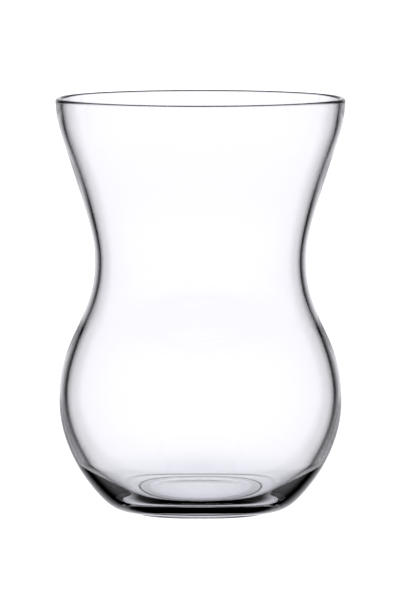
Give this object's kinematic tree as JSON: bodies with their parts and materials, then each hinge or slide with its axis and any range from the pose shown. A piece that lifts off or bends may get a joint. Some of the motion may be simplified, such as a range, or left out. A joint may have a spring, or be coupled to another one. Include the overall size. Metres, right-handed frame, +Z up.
{
  "type": "waisted tea glass",
  "caption": "Clear waisted tea glass with a flared bowl, round belly, thick base and small bearing ring; stands empty and holds a hot drink.",
  "frame": {"origin": "centre of the bearing ring, on the table", "axes": "+Z up along the axis of the glass; +X and +Y across it, and every direction across it is alike"},
  "size_m": [0.0612, 0.0612, 0.0878],
  "materials": {
    "clear_glass": "clear, colourless, fire-polished soda-lime glass"
  },
  "bodies": {
    "root": {"glass": "clear_glass"}
  },
  "joints": []
}
